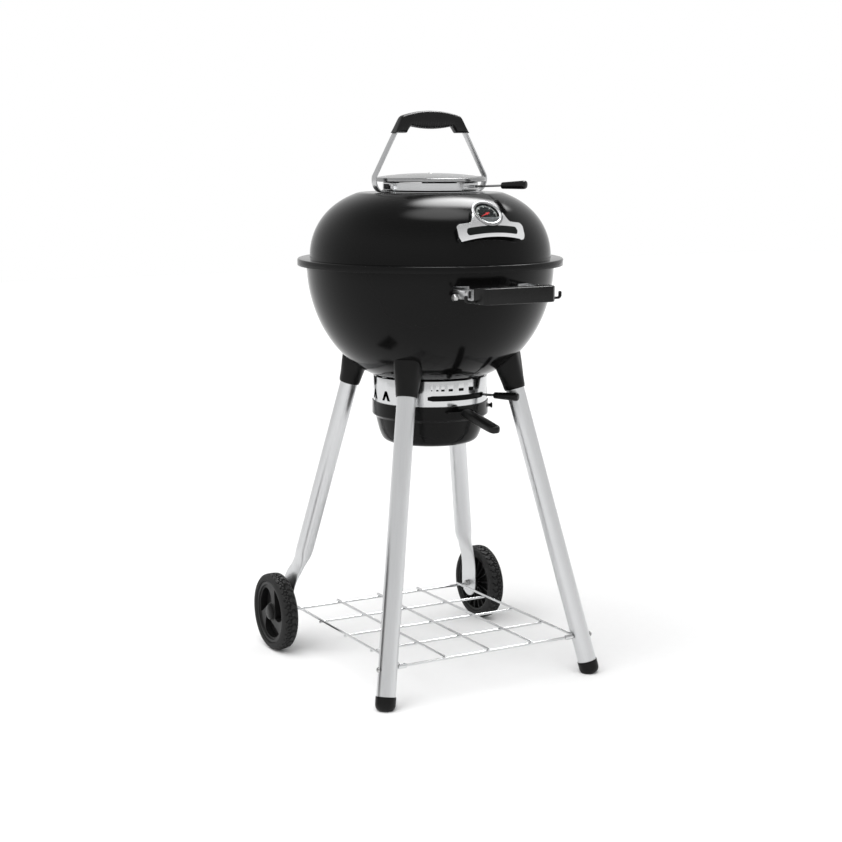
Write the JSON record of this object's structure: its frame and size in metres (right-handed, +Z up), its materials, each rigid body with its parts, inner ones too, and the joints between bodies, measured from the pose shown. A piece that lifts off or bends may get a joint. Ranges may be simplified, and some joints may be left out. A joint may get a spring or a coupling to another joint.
{
  "type": "kettle charcoal grill",
  "caption": "Kettle charcoal grill: domed lid with vent, handle and thermometer on a deep bowl with damper and ash pan, on splayed tube legs with wheels and a wire shelf.",
  "frame": {"origin": "centre of the footprint on the ground", "axes": "+Z up; -Y towards the front, the side with the thermometer and the front handle; +X to the right seen from the front"},
  "size_m": [0.5012, 0.588, 1.0344],
  "materials": {
    "enamel": "gloss black porcelain enamel",
    "satin_steel": "brushed stainless steel",
    "polished": "polished",
    "chrome_wire": "chrome plated wire",
    "aluminium": "satin, drawn lengthwise",
    "resin": "fine grained black resin",
    "rubber": "matt black tread",
    "dial": "matt dark dial face",
    "pointer": "red enamel",
    "glass": "clear",
    "zinc": "zinc plated steel"
  },
  "bodies": {
    "stand": {"bowl_shell": "enamel", "grate_tab_1": "zinc", "grate_tab_2": "zinc", "grate_tab_3": "zinc", "bowl_vent_ring": "satin_steel", "front_handle_bar": "resin", "front_handle_bracket_left": "satin_steel", "front_handle_bracket_right": "satin_steel", "front_handle_bolt_left": "zinc", "front_handle_bolt_right": "zinc", "leg_socket_front_left": "resin", "leg_socket_front_right": "resin", "leg_socket_rear_left": "resin", "leg_socket_rear_right": "resin", "leg_front_left": "aluminium", "leg_front_right": "aluminium", "leg_rear_left": "aluminium", "leg_rear_right": "aluminium", "foot_left": "resin", "foot_right": "resin", "wire_shelf": "chrome_wire", "shelf_bolt_left": "zinc", "shelf_bolt_right": "zinc", "axle_bolt_left": "zinc", "axle_bolt_right": "zinc", "axle_nut_left": "zinc", "axle_nut_right": "zinc"},
    "lid": {"lid_shell": "enamel", "lid_vent_collar": "satin_steel", "lid_vent_cap": "polished", "lid_handle_strap": "satin_steel", "lid_handle_grip": "resin", "lid_handle_bolt_left": "zinc", "lid_handle_bolt_right": "zinc", "thermometer_case": "polished", "thermometer_dial": "dial", "thermometer_lens": "glass", "thermometer_nut": "zinc", "badge_plate": "polished"},
    "lid_damper": {"lid_damper_ring": "satin_steel", "lid_damper_rod": "zinc", "lid_damper_grip": "resin"},
    "needle": {"thermometer_pointer": "pointer"},
    "bowl_damper": {"bowl_damper_sleeve": "satin_steel", "bowl_damper_rod": "zinc", "bowl_damper_grip": "resin"},
    "pan": {"ash_pan": "enamel", "ash_pan_bracket": "enamel", "ash_pan_grip": "resin", "ash_pan_knob_1": "resin", "ash_pan_knob_2": "resin", "ash_pan_knob_3": "resin"},
    "upper_grate": {"cooking_grate": "chrome_wire"},
    "lower_grate": {"charcoal_grate": "zinc"},
    "wheel_left": {"tyre_left": "rubber", "hub_left": "resin", "hub_cap_left": "resin"},
    "wheel_right": {"tyre_right": "rubber", "hub_right": "resin", "hub_cap_right": "resin"}
  },
  "joints": [
    {"name": "lid_lift", "type": "slide", "parent": "stand", "child": "lid", "axis": [0, 0, 1], "range_m": [0, 0.15]},
    {"name": "lid_damper_turn", "type": "hinge", "parent": "lid", "child": "lid_damper", "pos_m": [0, 0.019, 0.896], "axis": [0, 0, 1], "range_deg": [-40, 0]},
    {"name": "needle_turn", "type": "hinge", "parent": "lid", "child": "needle", "pos_m": [0, -0.174, 0.8492], "axis": [0, 0.6947, -0.7193], "range_deg": [0, 220]},
    {"name": "bowl_damper_turn", "type": "hinge", "parent": "stand", "child": "bowl_damper", "pos_m": [0, 0.019, 0.5195], "axis": [0, 0, 1], "range_deg": [-60, 0]},
    {"name": "ash_pan_drop", "type": "slide", "parent": "stand", "child": "pan", "axis": [0, 0, -1], "range_m": [0, 0.12]},
    {"name": "cooking_grate_lift", "type": "slide", "parent": "stand", "child": "upper_grate", "axis": [0, 0, 1], "range_m": [0, 0.03]},
    {"name": "charcoal_grate_lift", "type": "slide", "parent": "stand", "child": "lower_grate", "axis": [0, 0, 1], "range_m": [0, 0.1]},
    {"name": "wheel_left_spin", "type": "hinge", "parent": "stand", "child": "wheel_left", "pos_m": [-0.232, 0.219, 0.075], "axis": [1, 0, 0], "continuous": true},
    {"name": "wheel_right_spin", "type": "hinge", "parent": "stand", "child": "wheel_right", "pos_m": [0.232, 0.219, 0.075], "axis": [1, 0, 0], "continuous": true}
  ]
}
